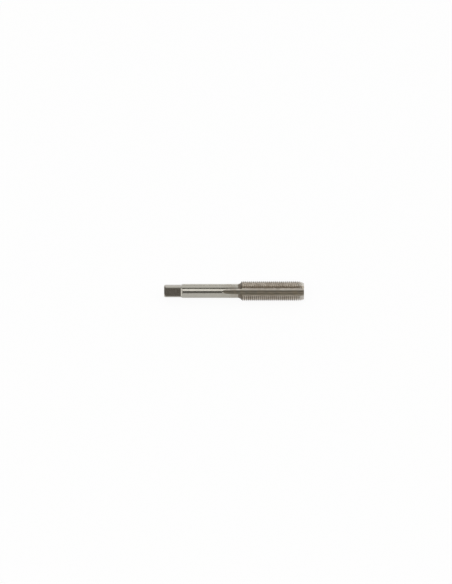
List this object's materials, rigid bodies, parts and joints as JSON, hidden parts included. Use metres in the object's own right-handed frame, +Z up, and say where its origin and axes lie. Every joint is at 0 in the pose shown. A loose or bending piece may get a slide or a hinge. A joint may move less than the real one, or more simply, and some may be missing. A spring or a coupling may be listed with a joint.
{
  "type": "thread tap",
  "caption": "Straight-flute hand tap for cutting a fine internal thread, with a round shank, square drive end and short tapered lead.",
  "frame": {"origin": "middle of the drive end, on the tap's axis", "axes": "+X along the axis from the drive end to the cutting end, +Z up, with one flute straight down and two lands below the axis"},
  "size_m": [0.07, 0.01, 0.0095],
  "materials": {
    "tool_steel": "ground and partly polished high-speed steel"
  },
  "bodies": {
    "root": {"thread_tap": "tool_steel"}
  },
  "joints": []
}
